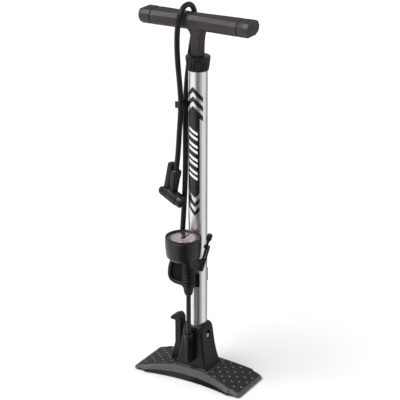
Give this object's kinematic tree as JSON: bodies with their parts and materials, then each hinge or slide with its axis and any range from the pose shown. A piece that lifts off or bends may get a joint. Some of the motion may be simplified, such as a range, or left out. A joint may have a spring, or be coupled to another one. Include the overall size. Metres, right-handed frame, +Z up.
{
  "type": "floor bicycle pump",
  "caption": "Upright floor pump with an arched foot base, aluminium barrel, T handle, dial gauge, parked hose and lever chuck for bicycle tyres.",
  "frame": {"origin": "on the barrel axis at the floor, under the middle of the foot base", "axes": "+Z up along the barrel, X along the handle and the long side of the base, -Y is the front with the gauge"},
  "size_m": [0.213, 0.1245, 0.6635],
  "materials": {
    "base_grey": "satin moulded plastic",
    "base_black": "fine moulded texture",
    "tower_black": "fine moulded texture",
    "foot_rubber": "matt",
    "steel_zinc": "zinc plated",
    "tread_rubber": "moulded bumps",
    "steel_black": "blackened",
    "barrel_aluminium": "polished and clear coated",
    "plain_plastic": "natural",
    "seal_rubber": "greased",
    "spring_steel": "drawn wire",
    "brass_part": "turned",
    "cap_black": "satin, fluted",
    "gauge_charcoal": "satin",
    "gauge_glass": "clear domed",
    "dial_face": "printed with plain ticks",
    "needle_paint": "matt",
    "bracket_black": "satin",
    "hose_rubber": "smooth extruded",
    "chuck_black": "satin",
    "rod_chrome": "ground and plated",
    "handle_charcoal": "satin moulded",
    "handle_inlay": "fine grip texture"
  },
  "bodies": {
    "pump_frame": {"base_shell": "base_grey", "base_skirt": "base_black", "base_sole": "base_black", "base_feet": "foot_rubber", "base_screws": "steel_zinc", "tread_left": "tread_rubber", "tread_right": "tread_rubber", "tower": "tower_black", "socket_screw": "steel_black", "chuck_hook": "tower_black", "barrel_tube": "barrel_aluminium", "barrel_foot_plug": "plain_plastic", "plug_seal": "seal_rubber", "valve_cage": "plain_plastic", "valve_spring": "spring_steel", "barrel_cap": "cap_black", "rod_guide_bush": "plain_plastic", "rod_wiper": "seal_rubber", "gauge_housing": "gauge_charcoal", "gauge_bezel": "gauge_charcoal", "gauge_lens": "gauge_glass", "gauge_dial": "dial_face", "gauge_movement": "brass_part", "gauge_port": "brass_part", "barrel_clamp": "bracket_black", "bracket_screws": "steel_zinc", "gauge_bracket": "bracket_black", "outlet_elbow": "bracket_black", "outlet_ferrule": "cap_black", "main_hose": "hose_rubber", "lower_hose": "hose_rubber", "lower_hose_nut": "cap_black", "hose_clip": "cap_black", "accessory_holder": "cap_black", "chuck_body": "chuck_black", "chuck_pin": "steel_zinc", "chuck_gland": "seal_rubber", "chuck_nose_cap": "chuck_black", "chuck_hose_nut": "chuck_black"},
    "plunger": {"piston_rod": "rod_chrome", "piston": "plain_plastic", "piston_seal": "seal_rubber", "piston_nut": "steel_zinc", "bump_stop": "seal_rubber", "handle_body": "handle_charcoal", "handle_inlay": "handle_inlay", "handle_end_cap_left": "handle_charcoal", "handle_end_cap_right": "handle_charcoal", "handle_pin": "steel_zinc"},
    "check_valve": {"valve_poppet": "brass_part"},
    "pointer": {"gauge_needle": "needle_paint"},
    "adaptor": {"nozzle_adaptor": "cap_black"},
    "chuck_lever": {"chuck_lever": "chuck_black"},
    "chuck_plunger": {"chuck_plunger": "plain_plastic"}
  },
  "joints": [
    {"name": "pump_stroke", "type": "slide", "parent": "pump_frame", "child": "plunger", "axis": [0, 0, 1], "range_m": [0, 0.44], "deforming": ["main_hose"]},
    {"name": "check_valve_lift", "type": "slide", "parent": "pump_frame", "child": "check_valve", "axis": [0, 0, -1], "range_m": [0, 0.0015], "stiffness_N_per_m": 200, "springref_m": -0.001, "deforming": ["valve_spring"]},
    {"name": "needle_turn", "type": "hinge", "parent": "pump_frame", "child": "pointer", "pos_m": [0, -0.047, 0.2698], "axis": [0, 0, -1], "range_deg": [0, 270]},
    {"name": "adaptor_lift", "type": "slide", "parent": "pump_frame", "child": "adaptor", "axis": [0.1862, 0.2032, 0.9613], "range_m": [0, 0.05]},
    {"name": "chuck_lever_turn", "type": "hinge", "parent": "pump_frame", "child": "chuck_lever", "pos_m": [-0.05372, -0.01685, 0.3409], "axis": [-0.0908, -0.987, 0.1329], "range_deg": [0, 95]},
    {"name": "chuck_plunger_slide", "type": "slide", "parent": "pump_frame", "child": "chuck_plunger", "axis": [0.9198, -0.1343, -0.3687], "range_m": [0, 0.0015]}
  ],
  "couplings": [
    {"joint": "chuck_plunger_slide", "follows": "chuck_lever_turn", "m_per_rad": 0.0009047}
  ]
}
